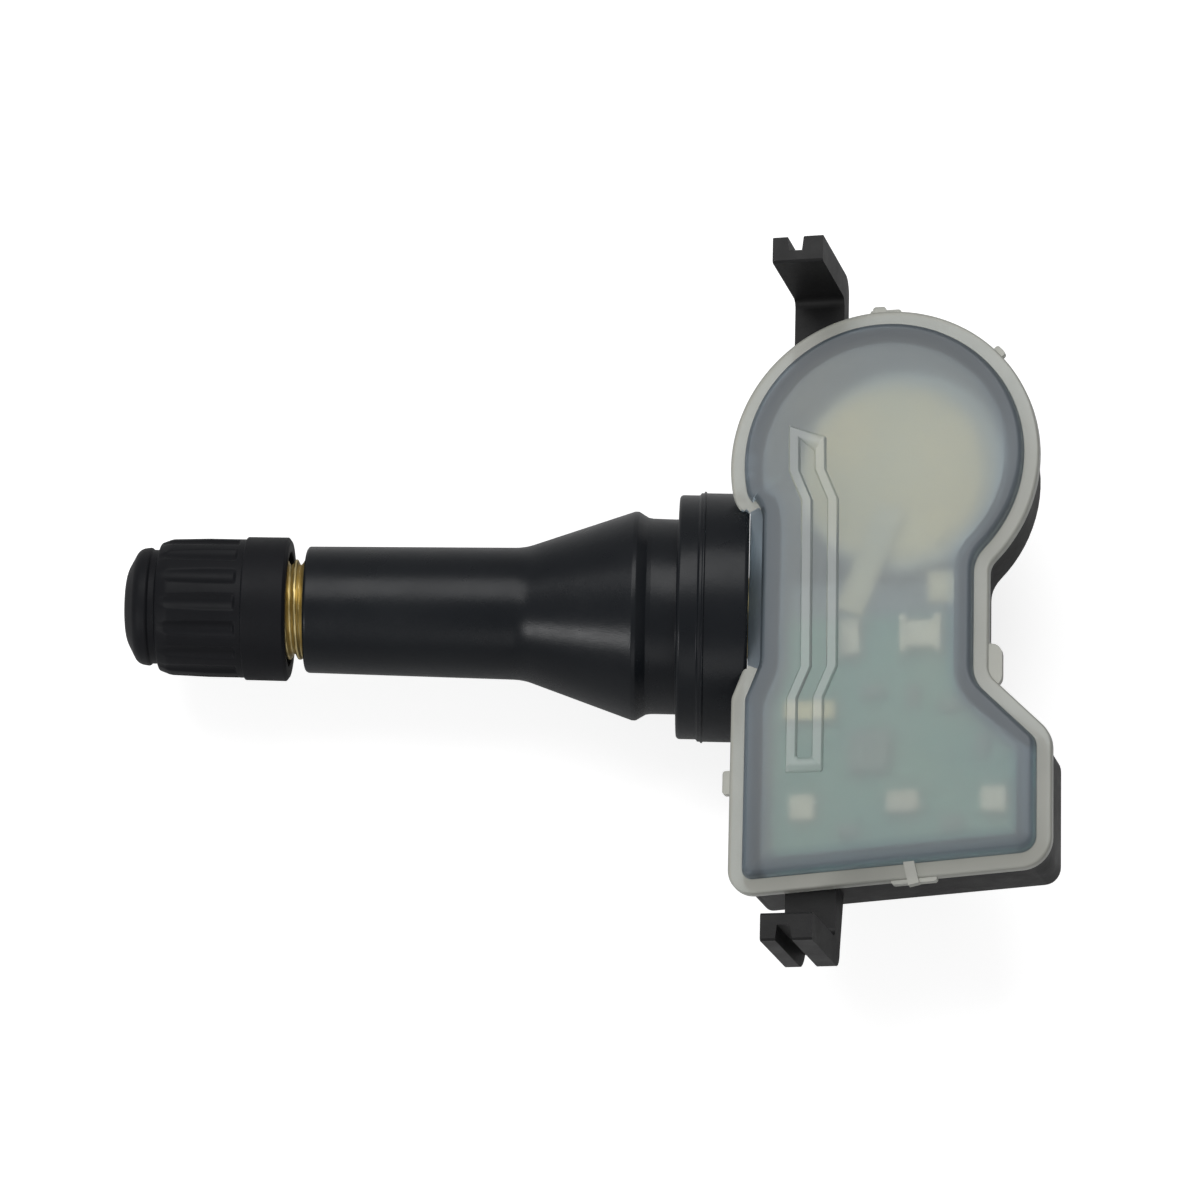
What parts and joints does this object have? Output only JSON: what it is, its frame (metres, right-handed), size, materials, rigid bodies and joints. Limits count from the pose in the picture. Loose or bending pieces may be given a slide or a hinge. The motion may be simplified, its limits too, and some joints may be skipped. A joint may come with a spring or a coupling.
{
  "type": "tyre pressure sensor",
  "caption": "Tyre pressure sensor in a tilted black housing with a translucent cover and two spring arms, screwed to a snap-in rubber tyre valve with a screw cap and a sprung core.",
  "frame": {"origin": "on the valve axis, in the plane where the rubber flange meets the inside of the wheel rim", "axes": "-X runs out along the valve to its cap, +X is into the tyre, +Z is towards the cover, +Y is towards the round battery end"},
  "size_m": [0.0714, 0.0542, 0.0249],
  "materials": {
    "cap_plastic": "moulded, fluted, soft gloss on the edges",
    "soft_rubber": "smooth moulded rubber",
    "brass": "turned brass with a rolled thread",
    "steel": "turned steel",
    "red_seal": "moulded seal ring",
    "valve_rubber": "moulded rubber with a parting line, slightly waxy",
    "housing_plastic": "glass filled moulding with a fine grain",
    "cover_plastic": "translucent natural moulding, slightly hazy",
    "board": "green solder mask",
    "battery_can": "nickel plated can with a cream label film",
    "strap": "nickel strip",
    "chip_plastic": "moulded chip body",
    "coil": "ferrite core with a wound coil",
    "antenna_strip": "plated strip",
    "small_parts": "soldered chip parts",
    "pin_plastic": "natural nylon"
  },
  "bodies": {
    "sensor": {"valve_stem": "brass", "core_barrel": "brass", "core_gasket": "red_seal", "core_spring": "steel", "valve_rubber": "valve_rubber", "fixing_screw": "steel", "housing": "housing_plastic", "cover": "cover_plastic", "circuit_board": "board", "battery": "battery_can", "battery_strap_minus": "strap", "battery_strap_plus": "strap", "pressure_chip": "chip_plastic", "port_seal": "soft_rubber", "antenna_coil": "coil", "crystal": "steel", "radio_antenna": "antenna_strip", "chip_parts": "small_parts", "board_pins": "pin_plastic"},
    "cap_washer": {"cap_seal": "soft_rubber"},
    "cap": {"valve_cap": "cap_plastic"},
    "pin": {"core_pin": "steel", "core_cup": "soft_rubber"}
  },
  "joints": [
    {"name": "cap_lift", "type": "slide", "parent": "sensor", "child": "cap_washer", "axis": [-1, 0, 0], "range_m": [0, 0.00952]},
    {"name": "cap_turn", "type": "hinge", "parent": "cap_washer", "child": "cap", "pos_m": [-0.036, 0, 0], "axis": [-1, 0, 0], "range_deg": [0, 4320]},
    {"name": "pin_press", "type": "slide", "parent": "sensor", "child": "pin", "axis": [1, 0, 0], "range_m": [0, 0.0013], "stiffness_N_per_m": 2500, "springref_m": -0.0008, "deforming": ["core_spring"]}
  ],
  "couplings": [
    {"joint": "cap_turn", "follows": "cap_lift", "rad_per_m": 7913.3}
  ]
}
